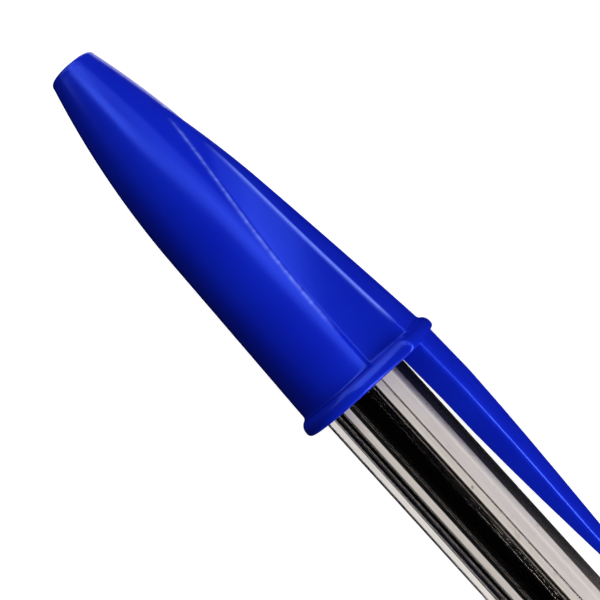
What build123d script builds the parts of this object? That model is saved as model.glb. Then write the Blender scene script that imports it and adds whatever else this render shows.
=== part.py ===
from build123d import *
import math
import os

# Frame: millimetres. The pen lies along X with the middle of its rear face at the origin
# and the cap's tip towards minus X. The pieces are drawn with the clip towards plus Y, and are
# then rolled about X until the pen lies on a straight flank of its rim, with plus Z up.

# Overall layout
pen_length = 149.0
cap_length = 35.6
cap_grip = 12.8
seat_gap = 0.02
tip_clearance = 2.7
cut_margin = 1.0

# Barrel
barrel_flats = 7.2
barrel_edge_round = 0.25
barrel_turn = 16.5
barrel_front_bevel = 0.5
barrel_rear_bevel = 0.3
bore_radius = 2.2
air_hole_radius = 0.5
air_hole_from_rear = 65.0

# End plug
plug_head_step = 0.25
plug_head_thickness = 1.2
plug_head_bevel = 0.35
plug_depth = 7.5
plug_wall = 0.8
plug_lead = 0.4

# Ink tube and ink
tube_clearance = 0.65
tube_wall = 0.5
tube_rear_gap = 4.0
ink_fit = 0.02
ink_rear_gap = 11.0

# Tip holder
holder_insert = 9.0
holder_lead = 0.3
holder_lead_length = 0.6
holder_shoulder_step = 0.8
holder_collar = 1.6
holder_collar_bevel = 0.3
holder_front_wall = 0.6
holder_front_straight = 0.9
tube_socket = 6.5
holder_channel_radius = 0.6

# Brass tip and its ball
brass_radius = 1.15
brass_insert = 4.0
brass_collar = 1.2
brass_cone_length = 5.6
brass_step_radius = 0.66
brass_step_length = 0.9
brass_point_length = 2.0
ink_channel_radius = 0.3
ball_radius = 0.5
ball_fit = 0.02
ball_showing = 0.3
socket_lip = 0.04

# Cap body
mouth_wall = 0.94
mouth_fit = 0.09
mouth_lead = 0.35
skirt_length = 18.2
skirt_taper = 0.5
nose_end_radius = 2.1
nose_rim_bevel = 0.25
nose_arcs = 3
cap_wall = 1.0
holder_room = 0.3
holder_end_room = 0.4
cavity_nose_length = 3.4
air_vent_radius = 1.1

# Rim at the cap's mouth, drawn out to the clip
rim_thickness = 1.4
rim_step = 0.67
rim_round = 0.55
rim_bevel = 0.4
rim_horn_rise = 1.38
rim_horn_half_width = 3.5
rim_horn_round = 0.8
rim_crown = 0.35

# Ridge that carries the clip along the cap, and the hollow flanks beside it
ridge_tip_gap = 7.8
ridge_rise = 2.06
ridge_end_rise = 0.06
ridge_rise_power = 1.1
ridge_half_width = 2.12
ridge_end_half_width = 0.2
ridge_crown = 0.14
flank_angle = 49.0
flank_end_angle = 10.0
flank_angle_power = 2.7
flank_hollow = 0.17
flank_end_hollow = 0.01
flank_bite = 0.03
flank_root = 1.2
ridge_slices = 6

# Free clip beyond the rim
clip_length = 25.2
clip_gap = 1.03
clip_end_gap = 2.28
clip_thickness = 2.1
clip_end_thickness = 0.45
clip_bow = 0.4
clip_half_width = 1.95
clip_end_half_width = 1.1
clip_root = 1.0

# Places and sizes that follow from the values above
corner_radius = (barrel_flats / 2 - barrel_edge_round) / math.cos(math.pi / 6) + barrel_edge_round
mouth_radius = corner_radius + mouth_fit
mouth_outer_radius = mouth_radius + mouth_wall
skirt_end_radius = mouth_outer_radius - skirt_taper
skirt_slope = skirt_taper / skirt_length
rim_radius = mouth_outer_radius + rim_step
rim_horn = (rim_radius + rim_horn_rise, rim_horn_half_width)
rim_flank_turn = math.atan2(rim_horn[1], rim_horn[0]) + math.acos(rim_radius / math.hypot(*rim_horn))
rest_roll = math.degrees(rim_flank_turn) - 90
ridge_length = cap_length - ridge_tip_gap
tube_radius = bore_radius - tube_clearance
holder_shoulder_radius = bore_radius + holder_shoulder_step
holder_front_radius = brass_radius + holder_front_wall
brass_reach = brass_collar + brass_cone_length + brass_point_length + ball_showing
holder_length = cap_length - cap_grip - brass_reach - tip_clearance
cap_tip_x = -pen_length
mouth_x = cap_tip_x + cap_length
bend_x = mouth_x - skirt_length
barrel_front_x = mouth_x - cap_grip
barrel_rear_x = -plug_head_thickness
plug_inner_x = barrel_rear_x - plug_depth
holder_front_x = barrel_front_x - holder_length
holder_rear_x = barrel_front_x + holder_insert
tube_front_x = holder_rear_x - tube_socket
tube_rear_x = plug_inner_x - tube_rear_gap
brass_rear_x = holder_front_x + brass_insert
brass_cone_x = holder_front_x - brass_collar
brass_step_x = brass_cone_x - brass_cone_length
brass_lip_x = brass_step_x - brass_point_length
ball_x = brass_lip_x - ball_showing + ball_radius

os.makedirs("parts", exist_ok=True)


def spin(points):
    # Solid of revolution about the pen's axis from (x, radius) corners.
    return revolve(make_face(Polyline(*points, close=True)), axis=Axis.X)


def rod(rear_x, front_x, radius):
    # Plain round bar between two places along the pen.
    return spin([(rear_x, 0), (rear_x, radius), (front_x, radius), (front_x, 0)])


def cross_plane(x):
    # Plane across the pen: its first direction is plus Y, its second is plus Z.
    return Plane(origin=(x, 0, 0), x_dir=(0, 1, 0), z_dir=(1, 0, 0))


def mirrored(point):
    return (point[0], -point[1])


def hollow_point(low, high, depth):
    # Middle of a line across the pen, pushed in towards the axis.
    run = math.hypot(high[0] - low[0], high[1] - low[1])
    inward = ((high[1] - low[1]) / run, -(high[0] - low[0]) / run)
    return ((low[0] + high[0]) / 2 + inward[0] * depth, (low[1] + high[1]) / 2 + inward[1] * depth)


def body_radius(from_mouth):
    # Outer radius of the cap's body: a straight skirt, then an arc that leaves it smoothly.
    if from_mouth <= skirt_length:
        return mouth_outer_radius - skirt_slope * from_mouth
    run = cap_length - skirt_length
    drop = skirt_end_radius - nose_end_radius
    start = math.atan(skirt_slope)
    arc = math.hypot(run, drop) / (2 * math.sin(math.atan2(drop, run) - start))
    turn = math.asin((from_mouth - skirt_length) / arc + math.sin(start))
    return skirt_end_radius - arc * (math.cos(start) - math.cos(turn))


def make_barrel():
    outline = RegularPolygon(barrel_flats / 2, 6, major_radius=False, rotation=-barrel_turn)
    outline = fillet(outline.vertices(), barrel_edge_round)
    stick = extrude(cross_plane(barrel_front_x) * outline, barrel_rear_x - barrel_front_x)
    front = corner_radius - barrel_front_bevel
    rear = corner_radius - barrel_rear_bevel
    reach = corner_radius + cut_margin
    ends = spin([
        (barrel_front_x, 0),
        (barrel_front_x, front),
        (barrel_front_x + reach - front, reach),
        (barrel_rear_x - reach + rear, reach),
        (barrel_rear_x, rear),
        (barrel_rear_x, 0),
    ])
    bore = rod(barrel_rear_x + cut_margin, barrel_front_x - cut_margin, bore_radius)
    flat_turn = Rot(30 - barrel_turn, 0, 0) * Rot(-90, 0, 0)
    hole = Cylinder(air_hole_radius, barrel_flats, align=(Align.CENTER, Align.CENTER, Align.MIN))
    hole = Pos(-air_hole_from_rear, 0, 0) * flat_turn * hole
    return (stick & ends) - bore - hole


def make_end_plug():
    head = barrel_flats / 2 - plug_head_step
    outer = spin([
        (0, 0),
        (0, head - plug_head_bevel),
        (-plug_head_bevel, head),
        (barrel_rear_x, head),
        (barrel_rear_x, bore_radius),
        (plug_inner_x + plug_lead, bore_radius),
        (plug_inner_x, bore_radius - plug_lead),
        (plug_inner_x, 0),
    ])
    return outer - rod(barrel_rear_x, plug_inner_x - cut_margin, bore_radius - plug_wall)


def make_ink_tube():
    tube = rod(tube_rear_x, tube_front_x, tube_radius)
    return tube - rod(tube_rear_x + cut_margin, tube_front_x - cut_margin, tube_radius - tube_wall)


def make_ink():
    return rod(tube_rear_x - ink_rear_gap, tube_front_x + ink_fit, tube_radius - tube_wall - ink_fit)


def make_tip_holder():
    collar_x = barrel_front_x - holder_collar
    outer = spin([
        (holder_rear_x, 0),
        (holder_rear_x, bore_radius - holder_lead),
        (holder_rear_x - holder_lead_length, bore_radius),
        (barrel_front_x, bore_radius),
        (barrel_front_x, holder_shoulder_radius),
        (collar_x, holder_shoulder_radius),
        (collar_x - holder_collar_bevel, holder_shoulder_radius - holder_collar_bevel),
        (holder_front_x + holder_front_straight, holder_front_radius),
        (holder_front_x, holder_front_radius),
        (holder_front_x, 0),
    ])
    socket = rod(holder_rear_x + cut_margin, tube_front_x, tube_radius)
    channel = rod(tube_front_x + cut_margin, brass_rear_x - cut_margin, holder_channel_radius)
    seat = rod(brass_rear_x, holder_front_x - cut_margin, brass_radius)
    return outer - socket - channel - seat


def make_brass_tip():
    outer = spin([
        (brass_rear_x, 0),
        (brass_rear_x, brass_radius),
        (brass_cone_x, brass_radius),
        (brass_step_x, brass_step_radius),
        (brass_step_x - brass_step_length, brass_step_radius),
        (brass_lip_x, ball_radius + ball_fit + socket_lip),
        (brass_lip_x, 0),
    ])
    channel = rod(brass_rear_x + cut_margin, ball_x, ink_channel_radius)
    return outer - channel - Pos(ball_x, 0, 0) * Sphere(ball_radius + ball_fit)


def make_tip_ball():
    return Pos(ball_x, 0, 0) * Sphere(ball_radius)


def cap_body():
    # Skirt and nose as one revolved shape with a bevelled rim at the tip.
    tip = cap_length - nose_rim_bevel
    edges = [Line((mouth_x, mouth_outer_radius), (bend_x, skirt_end_radius))]
    for i in range(nose_arcs):
        ends = [skirt_length + (tip - skirt_length) * (i + part / 2) / nose_arcs for part in range(3)]
        edges.append(ThreePointArc(*[(mouth_x - end, body_radius(end)) for end in ends]))
    edges.append(Polyline(
        (mouth_x - tip, body_radius(tip)),
        (cap_tip_x, nose_end_radius - nose_rim_bevel),
        (cap_tip_x, 0),
        (mouth_x, 0),
        (mouth_x, mouth_outer_radius),
    ))
    return revolve(make_face(edges), axis=Axis.X)


def cap_ridge():
    # Hollow flanks that leave the round body along one line, and the ridge between them. Towards the
    # cap's tip the ridge sinks, narrows and runs out on the body.
    slices = []
    for i in range(ridge_slices):
        share = i / (ridge_slices - 1)
        left = 1 - share
        narrow = math.cos(share * math.pi / 2)
        radius = body_radius(share * ridge_length) - flank_bite
        angle = flank_end_angle + (flank_angle - flank_end_angle) * (1 - share ** flank_angle_power)
        foot = (radius * math.cos(math.radians(angle)), radius * math.sin(math.radians(angle)))
        rise = ridge_end_rise + (ridge_rise - ridge_end_rise) * left ** ridge_rise_power
        half = ridge_end_half_width + (ridge_half_width - ridge_end_half_width) * narrow
        top = (radius + rise, half)
        hollow = hollow_point(foot, top, flank_end_hollow + (flank_hollow - flank_end_hollow) * left)
        crown = (top[0] + ridge_crown * narrow + flank_bite, 0)
        root = (foot[0] - flank_root, 0)
        outline = make_face([
            ThreePointArc(foot, hollow, top),
            ThreePointArc(top, crown, mirrored(top)),
            ThreePointArc(mirrored(top), mirrored(hollow), mirrored(foot)),
            Polyline(mirrored(foot), root, foot),
        ])
        slices.append(cross_plane(mouth_x - share * ridge_length) * outline)
    return loft(slices)


def cap_rim():
    # Raised rim around the mouth, with two straight flanks that leave it smoothly and rise to the clip.
    high = rim_horn
    low = (rim_radius * math.cos(rim_flank_turn), rim_radius * math.sin(rim_flank_turn))
    outline = make_face([
        ThreePointArc(low, (-rim_radius, 0), mirrored(low)),
        Line(mirrored(low), mirrored(high)),
        ThreePointArc(mirrored(high), (high[0] + rim_crown, 0), high),
        Line(high, low),
    ])
    outline = fillet(outline.vertices().sort_by(Axis.X)[-2:], rim_horn_round)
    plate = extrude(cross_plane(mouth_x - rim_thickness) * outline, rim_thickness)
    plate = fillet(plate.edges().group_by(Axis.X)[0], rim_round)
    return chamfer(plate.edges().group_by(Axis.X)[-1], rim_bevel)


def cap_clip():
    # Springy blade from inside the rim along the barrel: its side outline cut to its outline from above.
    start_x = mouth_x - clip_root
    end_x = mouth_x + clip_length
    inner = corner_radius + clip_gap
    inner_end = corner_radius + clip_end_gap
    outer = inner + clip_thickness
    outer_end = inner_end + clip_end_thickness
    middle_x = (start_x + end_x) / 2
    side = make_face([
        Line((start_x, inner), (start_x, outer)),
        ThreePointArc((start_x, outer), (middle_x, (outer + outer_end) / 2 + clip_bow), (end_x, outer_end)),
        Line((end_x, outer_end), (end_x, inner_end)),
        Line((end_x, inner_end), (start_x, inner)),
    ])
    blade = extrude(side, clip_half_width + cut_margin, both=True)
    round_x = end_x - clip_end_half_width
    above = make_face([
        Polyline((round_x, -clip_end_half_width), (start_x, -clip_half_width), (start_x, clip_half_width),
                 (round_x, clip_end_half_width)),
        ThreePointArc((round_x, clip_end_half_width), (end_x, 0), (round_x, -clip_end_half_width)),
    ])
    return blade & extrude(Plane.XZ * above, -2 * (outer + cut_margin))


def cap_cavity():
    # Room for the barrel, then two steps down around the tip, then the air vent through the cap's end.
    seat_x = barrel_front_x - seat_gap
    nose_x = cap_tip_x + cavity_nose_length
    room = rod(seat_x + cut_margin, holder_front_x - holder_end_room, holder_shoulder_radius + holder_room)
    nose = rod(holder_front_x, nose_x, body_radius(mouth_x - nose_x) - cap_wall)
    vent = rod(nose_x + cut_margin, cap_tip_x - cut_margin, air_vent_radius)
    mouth = spin([
        (seat_x, 0),
        (seat_x, mouth_radius),
        (mouth_x - mouth_lead, mouth_radius),
        (mouth_x, mouth_radius + mouth_lead),
        (mouth_x + cut_margin, mouth_radius + mouth_lead),
        (mouth_x + cut_margin, 0),
    ])
    return mouth + room + nose + vent


def make_pen_cap():
    return cap_body() + cap_ridge() + cap_rim() + cap_clip() - cap_cavity()


pieces = {
    "pen_cap": make_pen_cap(),
    "barrel": make_barrel(),
    "end_plug": make_end_plug(),
    "ink_tube": make_ink_tube(),
    "ink": make_ink(),
    "tip_holder": make_tip_holder(),
    "brass_tip": make_brass_tip(),
    "tip_ball": make_tip_ball(),
}

for name, drawn in pieces.items():
    shape = Rot(rest_roll, 0, 0) * drawn
    export_step(shape, "parts/" + name + ".step")
    print(name, round(shape.volume, 2), len(shape.solids()), "solid")
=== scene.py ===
import math
import bpy
import bmesh
import numpy as np
from mathutils import Matrix, Vector


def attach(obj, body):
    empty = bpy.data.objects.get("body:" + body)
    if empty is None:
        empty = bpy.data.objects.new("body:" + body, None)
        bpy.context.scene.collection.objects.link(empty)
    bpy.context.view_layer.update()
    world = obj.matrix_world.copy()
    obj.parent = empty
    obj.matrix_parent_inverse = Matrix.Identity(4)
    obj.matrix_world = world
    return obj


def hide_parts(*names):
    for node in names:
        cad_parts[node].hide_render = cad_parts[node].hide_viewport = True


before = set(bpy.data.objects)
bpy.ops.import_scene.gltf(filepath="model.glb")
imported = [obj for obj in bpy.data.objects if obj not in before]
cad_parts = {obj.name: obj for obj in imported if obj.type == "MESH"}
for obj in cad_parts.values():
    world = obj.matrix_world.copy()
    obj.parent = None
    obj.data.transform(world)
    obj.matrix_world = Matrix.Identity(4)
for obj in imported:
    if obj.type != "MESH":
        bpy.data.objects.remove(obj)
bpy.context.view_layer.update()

# The pen is drawn in millimetres along X with its clip towards plus Y, then rolled onto its rim.
penDraw = {
    "mouthX": -113.4,
    "rimRadius": 5.8182,
    "hornHeight": 7.1982,
    "hornHalfWidth": 3.5,
}
hornTurn = math.atan2(penDraw["hornHalfWidth"], penDraw["hornHeight"])
hornReach = math.hypot(penDraw["hornHalfWidth"], penDraw["hornHeight"])
flankTurn = hornTurn + math.acos(penDraw["rimRadius"] / hornReach)
rollTurn = flankTurn - math.pi / 2


def rolled(points):
    # drawn millimetres to metres in the frame
    points = np.asarray(points, float)
    turnCos = math.cos(rollTurn)
    turnSin = math.sin(rollTurn)
    out = np.empty_like(points)
    out[:, 0] = points[:, 0]
    out[:, 1] = points[:, 1] * turnCos - points[:, 2] * turnSin
    out[:, 2] = points[:, 1] * turnSin + points[:, 2] * turnCos
    return out * 0.001


# Shader tools

class Wire:
    # a node socket that can stand in a Python expression
    def __init__(self, tree, socket):
        self.tree = tree
        self.socket = socket

    def math(self, operation, *values):
        node = self.tree.nodes.new("ShaderNodeMath")
        node.operation = operation
        for slot, value in zip(node.inputs, values):
            if isinstance(value, Wire):
                self.tree.links.new(value.socket, slot)
            else:
                slot.default_value = value
        return Wire(self.tree, node.outputs[0])

    def __add__(self, other):
        return self.math("ADD", self, other)

    def __radd__(self, other):
        return self.math("ADD", other, self)

    def __sub__(self, other):
        return self.math("SUBTRACT", self, other)

    def __rsub__(self, other):
        return self.math("SUBTRACT", other, self)

    def __mul__(self, other):
        return self.math("MULTIPLY", self, other)

    def __rmul__(self, other):
        return self.math("MULTIPLY", other, self)

    def __truediv__(self, other):
        return self.math("DIVIDE", self, other)

    def __rtruediv__(self, other):
        return self.math("DIVIDE", other, self)

    def largest(self, other):
        return self.math("MAXIMUM", self, other)

    def smallest(self, other):
        return self.math("MINIMUM", self, other)


class Finish:
    # a material, or another owner of shader nodes, whose nodes are all made by one method
    def __init__(self, name, owner=None):
        self.material = owner or bpy.data.materials.new(name)
        self.material.use_nodes = True
        self.tree = self.material.node_tree
        self.tree.nodes.clear()

    def node(self, kind, settings=None, inputs=None, output=0):
        node = self.tree.nodes.new(kind)
        for key, value in (settings or {}).items():
            setattr(node, key, value)
        for key, value in (inputs or {}).items():
            slot = node.inputs[key]
            if isinstance(value, Wire):
                self.tree.links.new(value.socket, slot)
            else:
                slot.default_value = value
        return Wire(self.tree, node.outputs[output]) if node.outputs else node

    def place(self, stretch=(1, 1, 1)):
        # object coordinates in millimetres, stretched per axis
        coords = self.node("ShaderNodeTexCoord", output="Object")
        scale = tuple(1000 * part for part in stretch)
        return self.node("ShaderNodeMapping", inputs={"Vector": coords, "Scale": scale})

    def noise(self, place, scale, detail=3.0, rough=0.55):
        sockets = {"Vector": place, "Scale": scale, "Detail": detail, "Roughness": rough}
        return self.node("ShaderNodeTexNoise", inputs=sockets)

    def mixed(self, share, first, second):
        # sockets 6 and 7 are the node's two colours, and 2 is its colour output
        sockets = {"Factor": share, 6: first, 7: second}
        return self.node("ShaderNodeMix", {"data_type": "RGBA"}, sockets, output=2)

    def bump(self, height):
        # the height is in millimetres
        return self.node("ShaderNodeBump", inputs={"Height": height, "Distance": 0.001})

    def plainRays(self):
        # 1 for the rays that show the background as it is written
        shown = self.node("ShaderNodeLightPath", output="Is Camera Ray")
        for ray in ("Is Glossy Ray", "Is Transmission Ray"):
            shown = shown.largest(self.node("ShaderNodeLightPath", output=ray))
        return shown

    def output(self, shader, kind="ShaderNodeOutputMaterial"):
        self.node(kind, inputs={"Surface": shader})
        return self.material

    def surface(self, inputs):
        return self.output(self.node("ShaderNodeBsdfPrincipled", inputs=inputs))


def ramp(value, low, high):
    return ((value - low) / (high - low)).largest(0.0).smallest(1.0)


# Materials

capPlastic = {
    "deep": (0.0035, 0.0145, 0.52, 1),
    "bright": (0.0049, 0.0205, 0.59, 1),
    # painted highlight: the paler blue painted along the flash bead and the ridge's edge
    "wearAndPaintedHighlight": (0.17, 0.26, 1.0, 1),
    "roughness": 0.22,
    "ior": 1.65,
    "gloss": 1.0,
    "tint": (0.08, 0.17, 1.0, 1),
}


def bluePlastic(name):
    finish = Finish(name)
    place = finish.place()
    cloud = finish.noise(place, 0.16, 2.0)
    grain = finish.noise(place, 5.0)
    flow = finish.noise(finish.place((0.12, 1, 1)), 1.3)
    share = (cloud - 0.25) * 1.6
    colour = finish.mixed(share.smallest(1.0).largest(0.0), capPlastic["deep"], capPlastic["bright"])
    # painted highlight: the colour is lightened along the flash bead and the ridge's edge, from a mesh
    # attribute
    edge = finish.node("ShaderNodeAttribute", {"attribute_name": "paintedEdgeHighlight"}, output="Fac")
    colour = finish.mixed(edge * (0.6 + grain * 0.6), colour, capPlastic["wearAndPaintedHighlight"])
    rough = capPlastic["roughness"] + (grain - 0.5) * 0.06 + (flow - 0.5) * 0.05
    height = (grain - 0.5) * 0.0008 + (flow - 0.5) * 0.003
    return finish.surface({
        "Base Color": colour,
        "Roughness": rough,
        "IOR": capPlastic["ior"],
        "Specular IOR Level": capPlastic["gloss"],
        "Specular Tint": capPlastic["tint"],
        "Normal": finish.bump(height),
    })


clearPlastic = {
    "tint": (0.84, 0.80, 0.76, 1),
    "haze": (0.80, 0.75, 0.71, 1),
    "gloss": (0.2, 0.2, 0.2, 1),
    "ior": 1.58,
    "roughness": 0.012,
    "outside": (2.4, 2.8),  # mm from the axis, clear of the bore
    "scratched": (0.78, 0.90),  # values of the noise, from smooth to scratched
    # painted reflection: pale satin colours for strips of two flats, in place of the bright reflections of
    # the clear plastic
    "paintedReflection": (0.665, 0.605, 0.553, 1),
    "paintedReflectionPale": (0.72, 0.66, 0.607, 1),
    "paintedReflectionRoughness": 0.42,
    "paintedReflectionShare": 0.88,
    "paintedReflectionEdge": 1.44,  # mm from the middle of the flat to its strips of painted reflection
    "paintedReflectionSide": 0.55,  # mm across the flat under the clip
    "paintedReflectionBlend": 0.12,  # mm over which a strip's edge fades
    "paintedReflectionEnds": (-80.0, -87.0),  # mm along the pen, just past the end of the clip
    "flatOut": (3.45, 3.5),  # mm out from the axis, up to a flat
    "flatEdge": (2.0, 1.94),  # mm across a flat, from its edge inwards
    "scuffed": (0.23, 0.21, 0.19, 1),
    "scuffs": (0.60, 0.74),
    "specks": (0.83, 0.86),
}


def around(middle):
    half = clearPlastic["paintedReflectionBlend"] / 2
    return middle - half, middle + half


def flatCoords(finish, flat):
    # distance out from the axis to a flat of the barrel and distance across that flat, in millimetres
    turn = math.radians(barrelForm["turn"] + 30 + 60 * flat) + rollTurn
    place = finish.place()

    def along(y, z):
        sockets = {0: place, 1: (0, y, z)}
        return finish.node("ShaderNodeVectorMath", {"operation": "DOT_PRODUCT"}, sockets, output="Value")

    return along(math.cos(turn), math.sin(turn)), along(-math.sin(turn), math.cos(turn))


def barrelPlastic():
    look = clearPlastic
    finish = Finish("clearBarrel")
    cloud = finish.noise(finish.place((0.1, 1, 1)), 0.5, 2.0)
    colour = finish.mixed(cloud, look["tint"], look["haze"])
    scratch = finish.noise(finish.place((0.5, 1.2, 1.2)), 1.1, 4.0, 0.65)
    outside = finish.node(
        "ShaderNodeVectorMath", {"operation": "LENGTH"}, {0: finish.place((0, 1, 1))}, output="Value")
    wearAndPaintedHighlight = ramp(scratch, *look["scratched"]) * ramp(outside, *look["outside"])
    clear = finish.node("ShaderNodeBsdfPrincipled", inputs={
        "Base Color": colour,
        "Roughness": look["roughness"] + wearAndPaintedHighlight * 0.06,
        "IOR": look["ior"],
        "Specular Tint": look["gloss"],
        "Transmission Weight": 1.0,
        "Normal": finish.bump(wearAndPaintedHighlight * -0.0002),
    })
    # painted reflection: along the clip's reach, strips of two flats get a pale satin colour in place of
    # the bright reflections the clear plastic shows there
    topOut, topAcross = flatCoords(finish, 1)
    sideOut, sideAcross = flatCoords(finish, 0)
    topReach = topAcross.largest(topAcross * -1.0)
    topStrips = ramp(topReach, *around(look["paintedReflectionEdge"])) * ramp(topReach, *look["flatEdge"])
    sideStrip = ramp(sideAcross, *around(-look["paintedReflectionSide"])) * ramp(sideAcross, *look["flatEdge"])
    sideStrip = 0.1 + sideStrip * 0.9
    onTop = ramp(topOut, *look["flatOut"])
    onSide = ramp(sideOut, *look["flatOut"])
    paintedReflection = (topStrips * onTop).largest(sideStrip * onSide)
    grain = finish.noise(finish.place((0.06, 1, 1)), 3.0, 4.0, 0.6)
    scuff = ramp(finish.noise(finish.place((0.5, 1, 1)), 1.3, 5.0, 0.65), *look["scuffs"])
    speck = ramp(finish.noise(finish.place(), 1.9, 0.0), *look["specks"])
    # painted reflection colour, with darker scuffs and specks on it
    paintedReflectionColour = finish.mixed(cloud, look["paintedReflection"], look["paintedReflectionPale"])
    paintedReflectionColour = finish.mixed((scuff * 0.4).largest(speck * 0.8), paintedReflectionColour, look["scuffed"])
    matte = finish.node("ShaderNodeBsdfPrincipled", inputs={
        "Base Color": paintedReflectionColour,
        "Roughness": look["paintedReflectionRoughness"] + (grain - 0.5) * 0.2,
        "Normal": finish.bump(wearAndPaintedHighlight * -0.002),
    })
    lengthwise = finish.node("ShaderNodeSeparateXYZ", inputs={0: finish.place()}, output="X")
    paintedReflection = paintedReflection * ramp(lengthwise, *look["paintedReflectionEnds"])
    share = paintedReflection * look["paintedReflectionShare"] * (0.85 + grain * 0.3)
    return finish.output(finish.node("ShaderNodeMixShader", inputs={0: share, 1: clear, 2: matte}))


tubeLook = {
    "clear": (0.86, 0.86, 0.85, 1),
    "milky": (0.93, 0.93, 0.92, 1),
    "gloss": (0.02, 0.02, 0.02, 1),
    "ior": 1.5,
    "roughness": 0.012,
}


def tubePlastic():
    finish = Finish("milkyTube")
    cloud = finish.noise(finish.place((0.2, 1, 1)), 0.8)
    return finish.surface({
        "Base Color": finish.mixed(cloud, tubeLook["clear"], tubeLook["milky"]),
        "Roughness": cloud * tubeLook["roughness"],
        "IOR": tubeLook["ior"],
        "Specular Tint": tubeLook["gloss"],
        "Transmission Weight": 1.0,
    })


inkLook = {"dark": (0.0008, 0.0008, 0.002, 1), "light": (0.0015, 0.0015, 0.005, 1), "roughness": 0.12}


def darkInk():
    finish = Finish("darkInk")
    smear = finish.noise(finish.place((0.15, 1, 1)), 0.7)
    return finish.surface({
        "Base Color": finish.mixed(smear, inkLook["dark"], inkLook["light"]),
        "Roughness": inkLook["roughness"] + smear * 0.1,
        "Specular IOR Level": 0.0,
        "Normal": finish.bump(smear * 0.003),
    })


holderLook = {"grey": (0.72, 0.72, 0.70, 1), "pale": (0.82, 0.82, 0.80, 1), "roughness": 0.36}


def palePlastic():
    finish = Finish("paleHolder")
    place = finish.place()
    grain = finish.noise(place, 4.0)
    cloud = finish.noise(place, 0.4, 2.0)
    return finish.surface({
        "Base Color": finish.mixed(cloud, holderLook["grey"], holderLook["pale"]),
        "Roughness": holderLook["roughness"] + (grain - 0.5) * 0.1,
        "Normal": finish.bump(grain * 0.003),
    })


brassLook = {"dark": (0.64, 0.43, 0.16, 1), "bright": (0.80, 0.60, 0.28, 1), "roughness": 0.2}


def turnedBrass():
    finish = Finish("turnedBrass")
    rings = finish.noise(finish.place((1, 0.02, 0.02)), 9.0, 4.0)
    cloud = finish.noise(finish.place(), 0.9)
    return finish.surface({
        "Base Color": finish.mixed(cloud, brassLook["dark"], brassLook["bright"]),
        "Metallic": 1.0,
        "Roughness": brassLook["roughness"] + rings * 0.16,
        "Normal": finish.bump(rings * 0.006),
    })


ballLook = {"dark": (0.28, 0.28, 0.29, 1), "bright": (0.42, 0.42, 0.43, 1), "roughness": 0.22}


def groundMetal():
    finish = Finish("groundBall")
    pit = finish.noise(finish.place(), 12.0, 4.0)
    return finish.surface({
        "Base Color": finish.mixed(pit, ballLook["dark"], ballLook["bright"]),
        "Metallic": 1.0,
        "Roughness": ballLook["roughness"] + pit * 0.1,
        "Normal": finish.bump(pit * 0.002),
    })


# Mesh tools

def newPiece(name, points, faces, material, sharp=38.0, paintedHighlight=None):
    mesh = bpy.data.meshes.new(name)
    mesh.from_pydata([tuple(point) for point in rolled(points)], [], faces)
    # the painted highlight's strength at each point, kept as a mesh attribute
    if paintedHighlight is not None:
        layer = mesh.attributes.new("paintedEdgeHighlight", "FLOAT", "POINT")
        layer.data.foreach_set("value", paintedHighlight)
    made = bmesh.new()
    made.from_mesh(mesh)
    bmesh.ops.remove_doubles(made, verts=made.verts, dist=2e-7)
    bmesh.ops.recalc_face_normals(made, faces=made.faces)
    made.to_mesh(mesh)
    made.free()
    mesh.materials.append(material)
    smoothed(mesh, sharp)
    piece = bpy.data.objects.new(name, mesh)
    bpy.context.scene.collection.objects.link(piece)
    return piece


def smoothed(mesh, sharp):
    mesh.polygons.foreach_set("use_smooth", [True] * len(mesh.polygons))
    mesh.set_sharp_from_angle(angle=math.radians(sharp))


def ringFaces(rings, sides, start=0, closed=False):
    faces = []
    for ring in range(rings if closed else rings - 1):
        after = (ring + 1) % rings
        for side in range(sides):
            beside = (side + 1) % sides
            faces.append((
                start + ring * sides + side,
                start + ring * sides + beside,
                start + after * sides + beside,
                start + after * sides + side,
            ))
    return faces


def finished(piece):
    # freeze the modifiers into a plain mesh
    bpy.context.view_layer.update()
    graph = bpy.context.evaluated_depsgraph_get()
    mesh = bpy.data.meshes.new_from_object(piece.evaluated_get(graph))
    piece.modifiers.clear()
    piece.data = mesh
    mesh.name = piece.name
    return piece


def combine(piece, tool, operation):
    change = piece.modifiers.new("combine", "BOOLEAN")
    change.operation = operation
    change.solver = "EXACT"
    change.object = tool


def bevelEdges(piece, width, angle):
    edge = piece.modifiers.new("edge", "BEVEL")
    edge.width = width * 0.001
    edge.segments = 3
    edge.limit_method = "ANGLE"
    edge.angle_limit = math.radians(angle)
    return edge


def lathe(name, profile, material, bevel, sides=96):
    # turn a closed outline of (x, radius) about the pen's axis
    turns = np.linspace(0, 2 * math.pi, sides, endpoint=False)
    points = []
    for x, radius in profile:
        for turn in turns:
            points.append((x, radius * math.cos(turn), radius * math.sin(turn)))
    faces = ringFaces(len(profile), sides, closed=True)
    piece = newPiece(name, points, faces, material, 32.0)
    made = bmesh.new()
    made.from_mesh(piece.data)
    bmesh.ops.dissolve_degenerate(made, edges=made.edges, dist=1e-7)
    made.to_mesh(piece.data)
    made.free()
    bevelEdges(piece, bevel, 32).harden_normals = True
    return finished(piece)


# Cap: places along it are millimetres from its mouth

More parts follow.
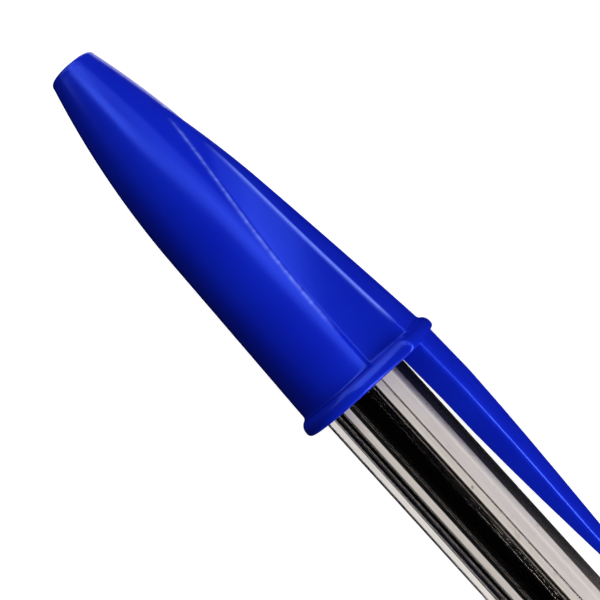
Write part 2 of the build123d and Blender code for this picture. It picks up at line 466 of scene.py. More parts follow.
capForm = {
    "length": 35.6,
    "mouthOuter": 5.1482,
    "mouthInner": 4.2082,
    "mouthLead": 0.35,
    "skirtLength": 18.2,
    "skirtTaper": 0.5,
    "grip": 12.82,  # how far the mouth's bore reaches over the barrel
    "tipRoom": (24.2, 3.3),  # end and radius of the room round the tip
    "noseFloor": 32.2,
    "noseWall": 1.0,
    "noseEnd": 2.1,
    "noseRound": 0.42,
    "vent": 1.1,
    "rimThickness": 1.4,
    "rimFrontRound": 0.88,
    "rimRearRound": 0.38,
    "rimHollow": 0.15,
    "rimHollowTurn": math.radians(65),
    "rimCrown": 0.35,
    "rimSoftness": 0.231,
    "rimBlend": 0.10,
    "ridgeLength": 27.8,
    "ridgeSink": 0.03,  # mm from the round body down to the foot of the flank
    "ridgeStep": 0.06,
    "ridgeLift": 2.0,
    "ridgeLiftBend": 1.1,
    "ridgeHalf": (0.2, 1.92),  # half width at the front end, and its gain up to the mouth
    "ridgeCrown": (0.14, 0.03),
    "footTurn": (10, 39),  # degrees from the clip at the front end, and their gain up to the mouth
    "footBend": 2.7,
    "flankDrop": 0.24,  # mm step down from the round body into the hollow flank
    "flankDropRun": 0.9,
    "flankDropEnd": 0.3,  # share of the ridge over which the step dies out
    "flankHollow": (0.01, 0.10),
    "edgeSoftness": 0.10,
    "beadHeight": 0.042,
    "beadWidth": 0.08,
    "beadEnds": (1.5, 0.97),  # mm from the mouth, and share of the ridge
    "beadFades": (6.0, 0.05),
    "beadLump": (0.72, 0.14),
    "beadWaves": ((3.1, 0.0), (7.7, 1.3), (13.9, 0.4)),
    "beadStray": (0.012, 5.3),
    # where the colour is painted paler as a highlight along the ridge's edge and the flash bead
    "ridgeHighlightWidth": 0.12,
    "ridgeHighlightEnds": (2.5, 0.85),  # mm from the mouth, and share of the ridge
    "ridgeHighlightFades": (2.0, 0.15),
    "footHighlightWidth": 0.18,
    "footHighlightEnds": (4.5, 8.0),  # mm from the mouth, where the painted highlight line fades in
    "sharp": 40.0,
    "fineTurn": 62,  # degrees from the clip that are finely divided
    "turnSteps": (124, 71),
    "outlineSteps": 1440,
    "roundSteps": 7,
    "bodyRings": 140,
}


def bodyRadius(fromMouth):
    form = capForm
    slope = form["skirtTaper"] / form["skirtLength"]
    end = form["mouthOuter"] - form["skirtTaper"]
    if fromMouth <= form["skirtLength"]:
        return form["mouthOuter"] - slope * fromMouth
    run = form["length"] - form["skirtLength"]
    drop = end - form["noseEnd"]
    start = math.atan(slope)
    arc = math.hypot(run, drop) / (2 * math.sin(math.atan2(drop, run) - start))
    turn = math.asin(min(1.0, (fromMouth - form["skirtLength"]) / arc + math.sin(start)))
    return end - arc * (math.cos(start) - math.cos(turn))


def arcThrough(first, middle, last, count):
    # points on the circle through three points, from the first to the last
    ax, ay = first
    bx, by = middle
    cx, cy = last
    spread = 2 * (ax * (by - cy) + bx * (cy - ay) + cx * (ay - by))
    if abs(spread) < 1e-9:
        share = np.linspace(0, 1, count)[:, None]
        return np.array(first) * (1 - share) + np.array(last) * share
    aa, bb, cc = [x * x + y * y for x, y in (first, middle, last)]
    centreX = (aa * (by - cy) + bb * (cy - ay) + cc * (ay - by)) / spread
    centreY = (aa * (cx - bx) + bb * (ax - cx) + cc * (bx - ax)) / spread
    centre = np.array([centreX, centreY])
    radius = np.linalg.norm(np.array(first) - centre)
    turns = np.unwrap([math.atan2(y - centreY, x - centreX) for x, y in (first, middle, last)])
    sweep = np.linspace(turns[0], turns[2], count)
    return centre + radius * np.stack([np.cos(sweep), np.sin(sweep)], axis=1)


def radiiAlong(line, turns):
    # distance from the axis at each turn, for a line of points with falling turns
    lineTurn = np.arctan2(line[:, 1], line[:, 0])
    lineRadius = np.hypot(line[:, 0], line[:, 1])
    return np.interp(turns, lineTurn[::-1], lineRadius[::-1])


def footTurn(share):
    front, gain = capForm["footTurn"]
    return math.radians(front + gain * (1 - share ** capForm["footBend"]))


def ridgeEdge(fromMouth):
    form = capForm
    share = fromMouth / form["ridgeLength"]
    radius = bodyRadius(fromMouth) - form["ridgeSink"]
    lift = form["ridgeLift"] * (1 - share) ** form["ridgeLiftBend"]
    half, gain = form["ridgeHalf"]
    return radius + form["ridgeStep"] + lift, half + gain * math.cos(share * math.pi / 2)


def ridgeOutline(fromMouth, turns, count=60):
    # distance from the axis to the hollow flank and the ridge, for turns from 0 to 180 degrees
    form = capForm
    share = fromMouth / form["ridgeLength"]
    body = np.full_like(turns, bodyRadius(fromMouth))
    if share >= 1:
        return body
    left = 1 - share
    radius = bodyRadius(fromMouth) - form["ridgeSink"]
    foot = footTurn(share)
    low = (radius * math.cos(foot), radius * math.sin(foot))
    top = ridgeEdge(fromMouth)
    run = math.hypot(top[0] - low[0], top[1] - low[1])
    ahead = ((top[0] - low[0]) / run, (top[1] - low[1]) / run)
    drop = form["flankDrop"] * min(left / form["flankDropEnd"], 1.0)
    onward = drop * form["flankDropRun"]
    start = (
        low[0] + ahead[0] * onward + ahead[1] * drop,
        low[1] + ahead[1] * onward - ahead[0] * drop,
    )
    least, gain = form["flankHollow"]
    depth = least + gain * left
    middle = (
        (start[0] + top[0]) / 2 + ahead[1] * depth,
        (start[1] + top[1]) / 2 - ahead[0] * depth,
    )
    rise, base = form["ridgeCrown"]
    crown = (top[0] + rise * math.cos(share * math.pi / 2) + base, 0.0)
    line = np.concatenate([
        [low],
        arcThrough(start, middle, top, count),
        arcThrough(top, crown, (top[0], -top[1]), 2 * count)[1:count + 1],
    ])
    return np.where(turns < foot, radiiAlong(line, turns), body)


def rimOutline(turns, count=80):
    radius = penDraw["rimRadius"]
    high = np.array([penDraw["hornHeight"], penDraw["hornHalfWidth"]])
    start = capForm["rimHollowTurn"]
    low = radius * np.array([math.cos(start), math.sin(start)])
    inward = np.array([low[1] - high[1], high[0] - low[0]]) / np.linalg.norm(high - low)
    middle = (low + high) / 2 - inward * capForm["rimHollow"]
    top = (high[0] + capForm["rimCrown"], 0.0)
    crown = arcThrough(tuple(high), top, (high[0], -high[1]), 2 * count)[1:count + 1]
    line = np.concatenate([arcThrough(tuple(low), tuple(middle), tuple(high), count), crown])
    return np.where(turns < start, radiiAlong(line, turns), radius)


def softened(turns, radii, width):
    # round the corners of an outline by averaging over a short way along it
    total = np.zeros_like(radii)
    weightSum = 0.0
    for step in np.linspace(-2, 2, 17):
        weight = math.exp(-step * step / 2)
        shifted = np.abs(turns + step * width / 6.0)
        shifted = np.where(shifted > math.pi, 2 * math.pi - shifted, shifted)
        total += weight * np.interp(shifted, turns, radii)
        weightSum += weight
    return total / weightSum


def softLargest(first, second, width):
    gap = np.clip(0.5 + 0.5 * (first - second) / width, 0, 1)
    return second * (1 - gap) + first * gap + width * gap * (1 - gap)


def fading(fromMouth, share, ends, fades):
    # 1 along a line on the ridge, falling to 0 towards its two ends
    return min(1.0, (fromMouth - ends[0]) / fades[0], (ends[1] - share) / fades[1])


def flashBead(fromMouth, turns, width):
    # thin uneven bead of moulding flash along the foot of each flank
    form = capForm
    share = fromMouth / form["ridgeLength"]
    if fromMouth < form["beadEnds"][0] or share > form["beadEnds"][1]:
        return turns * 0
    wave = sum(math.sin(rate * fromMouth + shift) for rate, shift in form["beadWaves"])
    level, swing = form["beadLump"]
    lump = level + swing * wave
    fade = fading(fromMouth, share, form["beadEnds"], form["beadFades"])
    stray, strayRate = form["beadStray"]
    away = (turns - footTurn(share)) * bodyRadius(fromMouth) + stray * math.sin(strayRate * fromMouth)
    return lump * fade * np.exp(-(away / width) ** 2)


def paintedHighlightLines(fromMouth, turns):
    # painted highlight: how strongly the colour is lightened along the bead and along the edge of the
    # ridge
    form = capForm
    fadeStart, fadeEnd = form["footHighlightEnds"]
    bead = flashBead(fromMouth, turns, form["footHighlightWidth"])
    bead = bead * max(0.0, min(1.0, (fromMouth - fadeStart) / (fadeEnd - fadeStart)))
    share = fromMouth / form["ridgeLength"]
    if fromMouth < form["ridgeHighlightEnds"][0] or share > form["ridgeHighlightEnds"][1]:
        return bead
    edge = ridgeEdge(fromMouth)
    edgeTurn = math.atan2(edge[1], edge[0])
    fade = fading(fromMouth, share, form["ridgeHighlightEnds"], form["ridgeHighlightFades"])
    away = (turns - edgeTurn) * math.hypot(*edge)
    return np.maximum(bead, fade * np.exp(-(away / form["ridgeHighlightWidth"]) ** 2))


def capPiece(material):
    form = capForm
    fineSteps, coarseSteps = form["turnSteps"]
    half = np.radians(np.concatenate([
        np.linspace(0, form["fineTurn"], fineSteps + 1),
        np.linspace(form["fineTurn"], 180, coarseSteps + 1)[1:],
    ]))
    turns = np.concatenate([half, 2 * math.pi - half[-2:0:-1]])
    fine = np.radians(np.linspace(0, 180, form["outlineSteps"] + 1))
    sharpRim = rimOutline(fine)
    rimFine = np.minimum(softened(fine, sharpRim, form["rimSoftness"]), sharpRim)
    rim = np.interp(half, fine, rimFine)

    def wholeRing(radii):
        return np.concatenate([radii, radii[-2:0:-1]])

    def bodyRing(fromMouth):
        outline = softened(fine, ridgeOutline(fromMouth, fine), form["edgeSoftness"])
        bead = form["beadHeight"] * flashBead(fromMouth, half, form["beadWidth"])
        return np.interp(half, fine, outline) + bead

    # the rim, with its rounded rear and front edges
    steps = np.radians(np.linspace(0, 90, form["roundSteps"] + 1))
    rear = form["rimRearRound"]
    front = form["rimFrontRound"]
    thick = form["rimThickness"]
    rings = [(rear * (1 - math.cos(step)), rear * (1 - math.sin(step))) for step in steps]
    rings += [(place, 0.0) for place in np.linspace(rear, thick - front, 5)[1:]]
    for step in steps[1:]:
        rings.append((thick - front + front * math.sin(step), front * (1 - math.cos(step))))
    outer = []
    for place, inset in rings:
        outer.append((place, softLargest(rim - inset, bodyRing(max(place, 0.0)), form["rimBlend"])))

    # a small fillet from the rim down to the body, then the body and its rounded nose
    foot = bodyRing(thick + 0.05)
    outer.append((thick + 0.02, softLargest(foot + 0.10, rim - front - 0.12, 0.06)))
    outer.append((thick + 0.07, foot + 0.03))
    outer.append((thick + 0.16, bodyRing(thick + 0.12)))
    noseStart = form["length"] - form["noseRound"]
    for place in np.linspace(thick + 0.3, noseStart, form["bodyRings"]):
        outer.append((place, bodyRing(place)))
    endRadius = bodyRadius(noseStart)
    for step in steps[1:]:
        radius = endRadius - form["noseRound"] * (1 - math.cos(step))
        outer.append((noseStart + form["noseRound"] * math.sin(step), np.full(len(half), radius)))

    # the hollow inside, from the vent back to the mouth
    roomEnd, room = form["tipRoom"]
    nose = bodyRadius(form["noseFloor"]) - form["noseWall"]
    lead = form["mouthLead"]
    inside = [
        (form["length"], form["vent"] + 0.15),
        (form["length"] - 0.05, form["vent"] + 0.04),
        (form["length"] - 0.15, form["vent"]),
        (form["noseFloor"], form["vent"]),
        (form["noseFloor"], nose),
        (roomEnd, nose),
        (roomEnd, room),
        (form["grip"], room),
        (form["grip"], form["mouthInner"]),
        (lead, form["mouthInner"]),
        (0.06, form["mouthInner"] + lead - 0.05),
        (0.0, form["mouthInner"] + lead + 0.05),
    ]
    outside = len(outer)
    for place, radius in inside:
        outer.append((place, np.full(len(half), radius)))

    points = []
    paintedHighlight = []
    for ring, (place, radii) in enumerate(outer):
        x = penDraw["mouthX"] - place
        for turn, radius in zip(turns, wholeRing(radii)):
            points.append((x, radius * math.cos(turn), radius * math.sin(turn)))
        # painted highlight along the bead and the ridge's edge, none on the inside
        wearAndPaintedHighlight = paintedHighlightLines(place, half) if ring < outside else half * 0
        paintedHighlight += list(wholeRing(wearAndPaintedHighlight))
    faces = ringFaces(len(outer), len(turns), closed=True)
    piece = newPiece("penCap", points, faces, material, form["sharp"], paintedHighlight)
    clipPoints, clipFaces = clipMesh()
    clip = newPiece("capClip", clipPoints, clipFaces, material, form["sharp"], [0.0] * len(clipPoints))
    combine(piece, clip, "UNION")
    finished(piece)
    bpy.data.objects.remove(clip)
    piece.data.set_sharp_from_angle(angle=math.radians(form["sharp"]))
    return piece


clipForm = {
    "length": 25.2,
    "root": 1.0,
    "share": (-0.04, 0.18, 0.33, 0.47, 0.62, 0.81, 0.95, 1.0),
    "outer": (7.36, 7.56, 7.51, 7.43, 7.30, 7.11, 6.98, 6.90),
    "inner": (5.10, 5.33, 5.38, 5.51, 5.70, 6.00, 6.22, 6.33),
    "halfWidth": (2.05, 1.97, 1.87, 1.73, 1.60, 1.40, 1.22, 1.14),
    "round": (0.72, 0.70, 0.66, 0.60, 0.53, 0.42, 0.32, 0.26),
    "innerRound": 0.10,
    "endRound": 1.1,
    "endThin": 0.10,
    "endHalf": 0.02,
    "lengthSteps": 52,
    "endSteps": 11,
    "cornerSteps": 6,
}


def clipMesh():
    form = clipForm
    endShare = form["endRound"] / form["length"]
    endTurns = np.radians(np.linspace(0, 90, form["endSteps"] + 1)[1:])
    shares = np.concatenate([
        np.linspace(-form["root"] / form["length"], 1 - endShare, form["lengthSteps"]),
        1 - endShare * (1 - np.sin(endTurns)),
    ])
    corner = np.radians(np.linspace(0, 90, form["cornerSteps"] + 1))
    points = []
    for share in shares:
        high, low, wide, bend = [
            np.interp(share, form["share"], form[key]) for key in ("outer", "inner", "halfWidth", "round")]
        fromEnd = (1 - share) * form["length"]
        if fromEnd < form["endRound"]:
            over = (form["endRound"] - fromEnd) / form["endRound"]
            wide = wide * math.sqrt(max(1 - over ** 2, 0.0)) + form["endHalf"]
            high -= form["endThin"] * over ** 3
            low += form["endThin"] * over ** 3
        # the rounding stays within the width and the thickness
        bend = min(bend, wide * 0.95, (high - low) * 0.55)
        lowBend = min(form["innerRound"], wide * 0.95, (high - low) * 0.40)
        x = penDraw["mouthX"] + share * form["length"]
        for quarter, (across, up) in enumerate(((1, 1), (-1, 1), (-1, -1), (1, -1))):
            curve = bend if up > 0 else lowBend
            middle = high - bend if up > 0 else low + lowBend
            side = across * (wide - curve)
            for turn in corner + quarter * math.pi / 2:
                points.append((x, middle + curve * math.sin(turn), side + curve * math.cos(turn)))
    sides = 4 * len(corner)
    faces = ringFaces(len(shares), sides)
    last = (len(shares) - 1) * sides
    faces.append(tuple(range(sides)))
    faces.append(tuple(range(last + sides - 1, last - 1, -1)))
    return points, faces


# Barrel

barrelForm = {
    "flats": 7.2,
    "edgeRound": 0.25,
    "turn": -16.5,
    "front": -126.2,
    "rear": -1.2,
    "frontBevel": 0.5,
    "rearBevel": 0.3,
    "bevelSteps": 6,
    "bore": 2.2,
    "boreSides": 144,
    "holeAt": -65.0,
    "holeRadius": 0.5,
    "holeReach": (0.6, 6.0),  # mm out from the axis, past the wall on both sides
    "holeSides": 48,
    "edgeSteps": 6,
}


def hexOutline():
    # six flats with rounded edges between them
    form = barrelForm
    reach = (form["flats"] / 2 - form["edgeRound"]) / math.cos(math.pi / 6)
    points = []
    for edge in range(6):
        middle = math.radians(form["turn"] + 60 * edge)
        for step in np.linspace(-30, 30, form["edgeSteps"] + 1):
            angle = middle + math.radians(step)
            points.append((
                reach * math.cos(middle) + form["edgeRound"] * math.cos(angle),
                reach * math.sin(middle) + form["edgeRound"] * math.sin(angle),
            ))
    return np.array(points)


def barrelPiece(material):
    form = barrelForm
    outline = hexOutline()
    reach = np.hypot(outline[:, 0], outline[:, 1])
    corner = reach.max()
    points = []

    def addRing(x, limit):
        scale = np.minimum(reach, limit) / reach
        for (y, z), part in zip(outline, scale):
            points.append((x, y * part, z * part))

    front = corner - form["frontBevel"]
    rear = corner - form["rearBevel"]
    steps = np.linspace(0, 1, form["bevelSteps"] + 1)
    for step in steps:
        addRing(form["front"] + form["frontBevel"] * step, front + form["frontBevel"] * step)
    for step in steps[::-1]:
        addRing(form["rear"] - form["rearBevel"] * step, rear + form["rearBevel"] * step)
    sides = len(outline)
    rings = len(points) // sides
    faces = ringFaces(rings, sides)
    boreSides = form["boreSides"]
    boreTurns = np.linspace(0, 2 * math.pi, boreSides, endpoint=False)
    boreStart = len(points)
    for x in (form["front"], form["rear"]):
        for turn in boreTurns:
            points.append((x, form["bore"] * math.cos(turn), form["bore"] * math.sin(turn)))
    for quad in ringFaces(2, boreSides, boreStart):
        faces.append(quad[::-1])
    faces += endFaces(points, 0, sides, boreStart, boreSides)
    faces += endFaces(points, (rings - 1) * sides, sides, boreStart + boreSides, boreSides)
    piece = newPiece("clearBarrel", points, faces, material, 24.0)
    drill = drillPiece(material)
    combine(piece, drill, "DIFFERENCE")
    even = piece.modifiers.new("evenFlats", "WEIGHTED_NORMAL")
    even.keep_sharp = True
    finished(piece)
    bpy.data.objects.remove(drill)
    return piece


def endFaces(points, outerStart, outerCount, innerStart, innerCount):
    # triangles that close an end between the outline and the bore
    def turnOf(index):
        return math.atan2(points[index][2], points[index][1])

    def turnAfter(ring, at):
        return turnOf(ring[(at + 1) % len(ring)]) + (2 * math.pi if at + 1 >= len(ring) else 0)

    outer = sorted(range(outerStart, outerStart + outerCount), key=turnOf)
    inner = sorted(range(innerStart, innerStart + innerCount), key=turnOf)
    faces = []
    outerAt = 0
    innerAt = 0
    while outerAt < outerCount or innerAt < innerCount:
        outerFirst = outerAt < outerCount and turnAfter(outer, outerAt) <= turnAfter(inner, innerAt)
        here = (outer[outerAt % outerCount], inner[innerAt % innerCount])
        if innerAt >= innerCount or outerFirst:
            faces.append((here[0], outer[(outerAt + 1) % outerCount], here[1]))
            outerAt += 1
        else:
            faces.append((here[1], here[0], inner[(innerAt + 1) % innerCount]))
            innerAt += 1
    return faces


def drillPiece(material):
    form = barrelForm
    turn = math.radians(30 + form["turn"])
    outward = np.array([0.0, math.cos(turn), math.sin(turn)])
    across = np.array([0.0, -math.sin(turn), math.cos(turn)])
    sides = form["holeSides"]
    points = []
    for reach in form["holeReach"]:
        for angle in np.linspace(0, 2 * math.pi, sides, endpoint=False):
            along = form["holeRadius"] * math.cos(angle)
            side = form["holeRadius"] * math.sin(angle)
            points.append(np.array([form["holeAt"] + along, 0, 0]) + outward * reach + across * side)
    faces = ringFaces(2, sides)
    faces.append(tuple(range(sides - 1, -1, -1)))
    faces.append(tuple(range(sides, 2 * sides)))
    return newPiece("airHoleDrill", points, faces, material)


# Ink tube and ink: swept along the pen's axis by Geometry Nodes

tubeForm = {"rear": -12.7, "front": -123.7, "outer": 1.55, "inner": 1.05, "sides": 96, "bevel": 0.08}
inkForm = {"rear": -23.7, "front": -123.68, "outer": 1.07, "sides": 96, "bevel": 0.05}


def sweepTree(name, hollow):
    tree = bpy.data.node_groups.new(name, "GeometryNodeTree")
    tree.is_modifier = True
    face = tree.interface
    sockets = {}
    for label, kind in (
        ("Rear", "NodeSocketVector"),
        ("Front", "NodeSocketVector"),
        ("Outer Radius", "NodeSocketFloat"),
        ("Inner Radius", "NodeSocketFloat"),
        ("Sides", "NodeSocketInt"),
        ("Finish", "NodeSocketMaterial"),
    ):
        sockets[label] = face.new_socket(label, in_out="INPUT", socket_type=kind).identifier
    face.new_socket("Mesh", in_out="OUTPUT", socket_type="NodeSocketGeometry")
    nodes = tree.nodes
    link = tree.links.new
    given = nodes.new("NodeGroupInput")

    def swept(radius, rear, front):
        line = nodes.new("GeometryNodeCurvePrimitiveLine")
        link(rear, line.inputs["Start"])
        link(front, line.inputs["End"])
        circle = nodes.new("GeometryNodeCurvePrimitiveCircle")
        link(given.outputs["Sides"], circle.inputs["Resolution"])
        link(radius, circle.inputs["Radius"])
        solid = nodes.new("GeometryNodeCurveToMesh")
        link(line.outputs["Curve"], solid.inputs["Curve"])
        link(circle.outputs["Curve"], solid.inputs["Profile Curve"])
        solid.inputs["Fill Caps"].default_value = True
        return solid.outputs["Mesh"]

    def longer(socket, other):
        # a little past the end, so that the bore comes out clean
        along = nodes.new("ShaderNodeVectorMath")
        along.operation = "SUBTRACT"
        link(socket, along.inputs[0])
        link(other, along.inputs[1])
        grow = nodes.new("ShaderNodeVectorMath")
        grow.operation = "MULTIPLY_ADD"
        link(along.outputs["Vector"], grow.inputs[0])
        grow.inputs[1].default_value = (0.01, 0.01, 0.01)
        link(socket, grow.inputs[2])
        return grow.outputs["Vector"]

    result = swept(given.outputs["Outer Radius"], given.outputs["Rear"], given.outputs["Front"])
    if hollow:
        rear = longer(given.outputs["Rear"], given.outputs["Front"])
        front = longer(given.outputs["Front"], given.outputs["Rear"])
        cut = nodes.new("GeometryNodeMeshBoolean")
        cut.operation = "DIFFERENCE"
        link(result, cut.inputs["Mesh 1"])
        link(swept(given.outputs["Inner Radius"], rear, front), cut.inputs["Mesh 2"])
        result = cut.outputs["Mesh"]
    real = nodes.new("GeometryNodeRealizeInstances")
    link(result, real.inputs[0])
    coat = nodes.new("GeometryNodeSetMaterial")
    link(real.outputs[0], coat.inputs["Geometry"])
    link(given.outputs["Finish"], coat.inputs["Material"])
    out = nodes.new("NodeGroupOutput")
    link(coat.outputs["Geometry"], out.inputs[0])
    return tree, sockets


def sweptPiece(name, form, material):
    tree, sockets = sweepTree(name + "Sweep", "inner" in form)
    piece = bpy.data.objects.new(name, bpy.data.meshes.new(name))
    bpy.context.scene.collection.objects.link(piece)
    sweep = piece.modifiers.new("sweep", "NODES")
    sweep.node_group = tree
    sweep[sockets["Rear"]] = (form["rear"] * 0.001, 0.0, 0.0)
    sweep[sockets["Front"]] = (form["front"] * 0.001, 0.0, 0.0)
    sweep[sockets["Outer Radius"]] = form["outer"] * 0.001
    sweep[sockets["Inner Radius"]] = form.get("inner", 0.0) * 0.001
    sweep[sockets["Sides"]] = form["sides"]
    sweep[sockets["Finish"]] = material
    bevelEdges(piece, form["bevel"], 40)
    finished(piece)
    smoothed(piece.data, 32.0)
    return piece


# Turned and moulded inner pieces, as outlines of (x, radius)

plugForm = {
    "head": 1.2,
    "headRadius": 3.35,
    "headBevel": 0.35,
    "stem": 8.7,
    "lead": 0.4,
    "hollow": 1.4,
    "bevel": 0.12,
}


def plugOutline():
    form = plugForm
    head = -form["head"]
    end = -form["stem"]
    bore = barrelForm["bore"]
    return [
        (0, 0),
        (0, form["headRadius"] - form["headBevel"]),
        (-form["headBevel"], form["headRadius"]),
        (head, form["headRadius"]),
        (head, bore),
        (end + form["lead"], bore),
        (end, bore - form["lead"]),
        (end, form["hollow"]),
        (head, form["hollow"]),
        (head, 0),
    ]


holderForm = {
    "rear": -117.2,
    "lead": 0.3,
    "leadLength": 0.6,
    "collarRadius": 3.0,
    "collarEnd": -127.8,
    "collarBevel": 0.3,
    "noseRadius": 1.75,
    "noseStraight": 0.9,
    "front": -137.2,
    "channel": 0.6,
    "bevel": 0.10,
}


def holderOutline():
    form = holderForm
    bore = barrelForm["bore"]
    seat = barrelForm["front"]
    collar = form["collarRadius"]
    tubeEnd = tubeForm["front"]
    tube = tubeForm["outer"]
    return [
        (form["rear"], tube),
        (form["rear"], bore - form["lead"]),
        (form["rear"] - form["leadLength"], bore),
        (seat, bore),
        (seat, collar),
        (form["collarEnd"], collar),
        (form["collarEnd"] - form["collarBevel"], collar - form["collarBevel"]),
        (form["front"] + form["noseStraight"], form["noseRadius"]),
        (form["front"], form["noseRadius"]),
        (form["front"], brassForm["radius"]),
        (brassForm["rear"], brassForm["radius"]),
        (brassForm["rear"], form["channel"]),
        (tubeEnd, form["channel"]),
        (tubeEnd, tube),
    ]


brassForm = {
    "rear": -133.2,
    "radius": 1.15,
    "coneStart": -138.4,
    "coneEnd": -144.0,
    "pointRadius": 0.66,
    "pointStart": -144.9,
    "lipX": -146.0,
    "lipRadius": 0.56,
    "ballX": -145.8,
    "socket": 0.52,
    "socketSteps": 8,
    "channel": 0.3,
    "bevel": 0.03,
}


def brassOutline():
    form = brassForm
    outline = [
        (form["rear"], form["channel"]),
        (form["rear"], form["radius"]),
        (form["coneStart"], form["radius"]),
        (form["coneEnd"], form["pointRadius"]),
        (form["pointStart"], form["pointRadius"]),
        (form["lipX"], form["lipRadius"]),
    ]
    socket = form["socket"]
    rim = math.acos((form["ballX"] - form["lipX"]) / socket)
    back = math.pi - math.asin(form["channel"] / socket)
    for turn in np.linspace(rim, back, form["socketSteps"] + 1):
        outline.append((form["ballX"] - socket * math.cos(turn), socket * math.sin(turn)))
    return outline


print("materials")
capMaterial = bluePlastic("blueCap")
plugMaterial = bluePlastic("bluePlug")
barrelMaterial = barrelPlastic()

print("cap and barrel")
penCap = capPiece(capMaterial)
clearBarrel = barrelPiece(barrelMaterial)

print("inner pieces")
inkTube = sweptPiece("inkTube", tubeForm, tubePlastic())
inkColumn = sweptPiece("inkColumn", inkForm, darkInk())
endPlug = lathe("endPlug", plugOutline(), plugMaterial, plugForm["bevel"])
tipHolder = lathe("tipHolder", holderOutline(), palePlastic(), holderForm["bevel"])
brassTip = lathe("brassTip", brassOutline(), turnedBrass(), brassForm["bevel"])

for piece, body, node, slot in (
    (penCap, "cap", "pen_cap", "blue_plastic"),
    (clearBarrel, "pen_body", "barrel", "clear_plastic"),
    (inkTube, "pen_body", "ink_tube", "tube_plastic"),
    (inkColumn, "pen_body", "ink", "ink"),
    (endPlug, "pen_body", "end_plug", "blue_plastic"),
    (tipHolder, "pen_body", "tip_holder", "holder_plastic"),
    (brassTip, "pen_body", "brass_tip", "brass"),
):
    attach(piece, body)
    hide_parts(node)

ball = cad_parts["tip_ball"]
ball.data.materials.clear()
ball.data.materials.append(groundMetal())

# Floor: it leans by under a degree, as the pen rests on its rim and on the rear of its barrel

floorForm = {
    "colour": (0.90, 0.90, 0.90, 1),
    "shade": (0.89, 0.89, 0.89, 1),
    "bounce": (0.80, 0.80, 0.80, 1),
    "glow": 0.86,
    "reach": 2.5,  # metres, as are the places below
    "rimX": -0.114,
    "rimLow": penDraw["rimRadius"] * 0.001,
    "rearLow": 0.00409,
    "span": 0.1125,
    "gap": 0.00002,
}


def floorMaterial():
    finish = Finish("paleFloor")
    speck = finish.noise(finish.place(), 0.02, 2.0)
    pale = finish.mixed(speck, floorForm["shade"], floorForm["colour"])
    shown = finish.plainRays()
    colour = finish.mixed(shown, floorForm["bounce"], pale)
    matte = finish.node("ShaderNodeBsdfDiffuse", inputs={"Color": colour})
    strength = shown * floorForm["glow"]
    glow = finish.node("ShaderNodeEmission", inputs={"Color": (1, 1, 1, 1), "Strength": strength})
    return finish.output(finish.node("ShaderNodeAddShader", inputs={0: matte, 1: glow}))


def stagePlane(name, corners, material):
    mesh = bpy.data.meshes.new(name)
    mesh.from_pydata(corners, [], [(0, 1, 2, 3)])
    mesh.materials.append(material)
    plane = bpy.data.objects.new(name, mesh)
    bpy.context.scene.collection.objects.link(plane)
    return plane


def onFloor(xEnds, yEnds, lift=0.0):
    lean = (floorForm["rimLow"] - floorForm["rearLow"]) / floorForm["span"]
    corners = []
    for x, y in ((0, 0), (1, 0), (1, 1), (0, 1)):
        height = -floorForm["rimLow"] + (xEnds[x] - floorForm["rimX"]) * lean - floorForm["gap"]
        corners.append((xEnds[x], yEnds[y], height + lift))
    return corners


print("floor, light and camera")
floorEnds = (-floorForm["reach"], floorForm["reach"])
stagePlane("floor", onFloor(floorEnds, floorEnds), floorMaterial())

# Dark sheets that the camera doesn't see and that cast no shadow: the one under the pen is painted shadow
# that the clear plastic shows, the one on the floor at the left is painted shadow that the clear plastic
# and the gloss show, the one on the floor at the right is a painted dark reflection in the gloss, and the
# standing one at the left is a painted dark reflection in the gloss and the clear plastic.

paintedSheetForm = {
    "dark": (0.004, 0.004, 0.005, 1),
    "weave": (0.008, 0.008, 0.009, 1),
    "ends": (-0.4, 0.2),
    "lift": 0.0002,
    "leftFloor": (-0.006, -0.09),
    "leftFoot": (-0.09, -0.02),
    "leftTop": (-0.07, 0.14),
    "rightFloor": (0.003, 0.12),
    "under": (-0.0027, 0.0026),
}


# the sheets' near-black colour, for painted shadow and painted dark reflections
def paintedSheetMaterial():
    finish = Finish("paintedDarkSheet")
    weave = finish.noise(finish.place(), 0.3, 2.0)
    colour = finish.mixed(weave, paintedSheetForm["dark"], paintedSheetForm["weave"])
    return finish.output(finish.node("ShaderNodeBsdfDiffuse", inputs={"Color": colour}))


def paintedDarkSheet(name, corners, glossy, through):
    sheet = stagePlane(name, corners, paintedSheetMaterial())
    sheet.visible_camera = False
    sheet.visible_diffuse = False
    sheet.visible_shadow = False
    sheet.visible_volume_scatter = False
    sheet.visible_glossy = glossy
    sheet.visible_transmission = through


def floorPaintedSheet(name, yEnds, glossy, through):
    paintedDarkSheet(name, onFloor(paintedSheetForm["ends"], yEnds, paintedSheetForm["lift"]), glossy, through)


def standingPaintedSheet(name, foot, top):
    start, end = paintedSheetForm["ends"]
    paintedDarkSheet(name, [(start, *foot), (end, *foot), (end, *top), (start, *top)], True, True)


# painted shadow on the floor at the left and under the pen, painted dark reflections on the right floor
# and standing at the left
floorPaintedSheet("leftFloorPaintedShadow", paintedSheetForm["leftFloor"], True, True)
standingPaintedSheet("leftPaintedDarkReflection", paintedSheetForm["leftFoot"], paintedSheetForm["leftTop"])
floorPaintedSheet("rightFloorPaintedDarkReflection", paintedSheetForm["rightFloor"], True, False)
floorPaintedSheet("underPaintedShadow", paintedSheetForm["under"], False, True)

# Camera and lamps

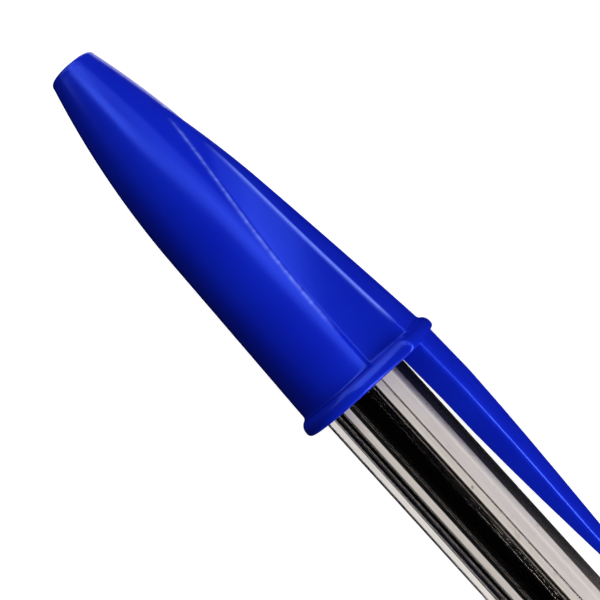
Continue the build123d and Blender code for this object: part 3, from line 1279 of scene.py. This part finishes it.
studio = {
    "viewTurn": math.radians(22) - rollTurn,
    "imageTurn": math.radians(47.79),
    "distance": 0.130,
    "aim": (-0.12232, 0.001139),
    "lens": 95.16,
    "panelAway": 0.45,
    "broadPower": 0.38,
    "broadTilt": math.radians(25),
    "broadSize": (0.50, 0.15),
    "panels": {
        "sidePanel": {"power": 2.4, "lift": 7.8, "turn": 46, "size": (0.60, 0.115)},
        "endPanel": {"power": 0.28, "lift": 31, "turn": -107, "size": (0.30, 0.30)},
        "cornerPanel": {"power": 0.52, "lift": 25, "turn": -60, "size": (0.30, 0.30)},
    },
    "world": 0.03,
    "paleRim": (0.42, 0.25),  # rise above the floor's edge, from dark overhead to pale
}


def placed(across, up, back, spot):
    # a camera or lamp at a spot, looking against the back direction
    return Matrix((
        (across.x, up.x, back.x, spot.x),
        (across.y, up.y, back.y, spot.y),
        (across.z, up.z, back.z, spot.z),
        (0, 0, 0, 1),
    ))


toCamera = Vector((0, math.sin(studio["viewTurn"]), math.cos(studio["viewTurn"])))
sideways = Vector((0, math.cos(studio["viewTurn"]), -math.sin(studio["viewTurn"])))
lengthways = Vector((1, 0, 0))
right = lengthways * math.cos(studio["imageTurn"]) + sideways * math.sin(studio["imageTurn"])
up = sideways * math.cos(studio["imageTurn"]) - lengthways * math.sin(studio["imageTurn"])
aim = lengthways * studio["aim"][0] + sideways * studio["aim"][1]
lens = bpy.data.cameras.new("camera")
lens.lens = studio["lens"]
lens.sensor_width = 36
lens.clip_start = 0.001
camera = bpy.data.objects.new("camera", lens)
camera.matrix_world = placed(right, up, toCamera, aim + toCamera * studio["distance"])
bpy.context.scene.collection.objects.link(camera)
bpy.context.scene.camera = camera


def softPanel(name, power, size, towards, level):
    # a soft box in a given direction, with its long side along a given line
    lamp = bpy.data.lights.new(name, "AREA")
    lamp.shape = "RECTANGLE"
    lamp.size, lamp.size_y = size
    lamp.energy = power
    holder = bpy.data.objects.new(name, lamp)
    holder.matrix_world = placed(level, towards.cross(level), towards, aim + towards * studio["panelAway"])
    bpy.context.scene.collection.objects.link(holder)


# the broad panel leans from the camera's line of sight towards the top of the picture
broadLean = toCamera * math.cos(studio["broadTilt"]) + up * math.sin(studio["broadTilt"])
softPanel("broadPanel", studio["broadPower"], studio["broadSize"], broadLean, right)

# the others are lifted off the floor and turned from the clip's side towards the rear end
for name, panel in studio["panels"].items():
    lift = math.radians(panel["lift"])
    turn = math.radians(panel["turn"])
    flat = Vector((math.sin(turn), math.cos(turn), 0))
    towards = flat * math.cos(lift) + Vector((0, 0, math.sin(lift)))
    softPanel(name, panel["power"], panel["size"], towards, Vector((math.cos(turn), -math.sin(turn), 0)))

world = bpy.data.worlds.new("studioWorld")
bpy.context.scene.world = world
sky = Finish("studioWorld", world)
skyPlace = sky.node("ShaderNodeTexCoord", output="Generated")
rise = sky.node("ShaderNodeSeparateXYZ", inputs={0: skyPlace}, output="Z")
pale = sky.plainRays() * ramp(rise, *studio["paleRim"])
strength = studio["world"] + pale * (1 - studio["world"])
backdrop = sky.node("ShaderNodeBackground", inputs={"Color": (1, 1, 1, 1), "Strength": strength})
sky.output(backdrop, "ShaderNodeOutputWorld")

bpy.context.scene.view_settings.view_transform = "Standard"
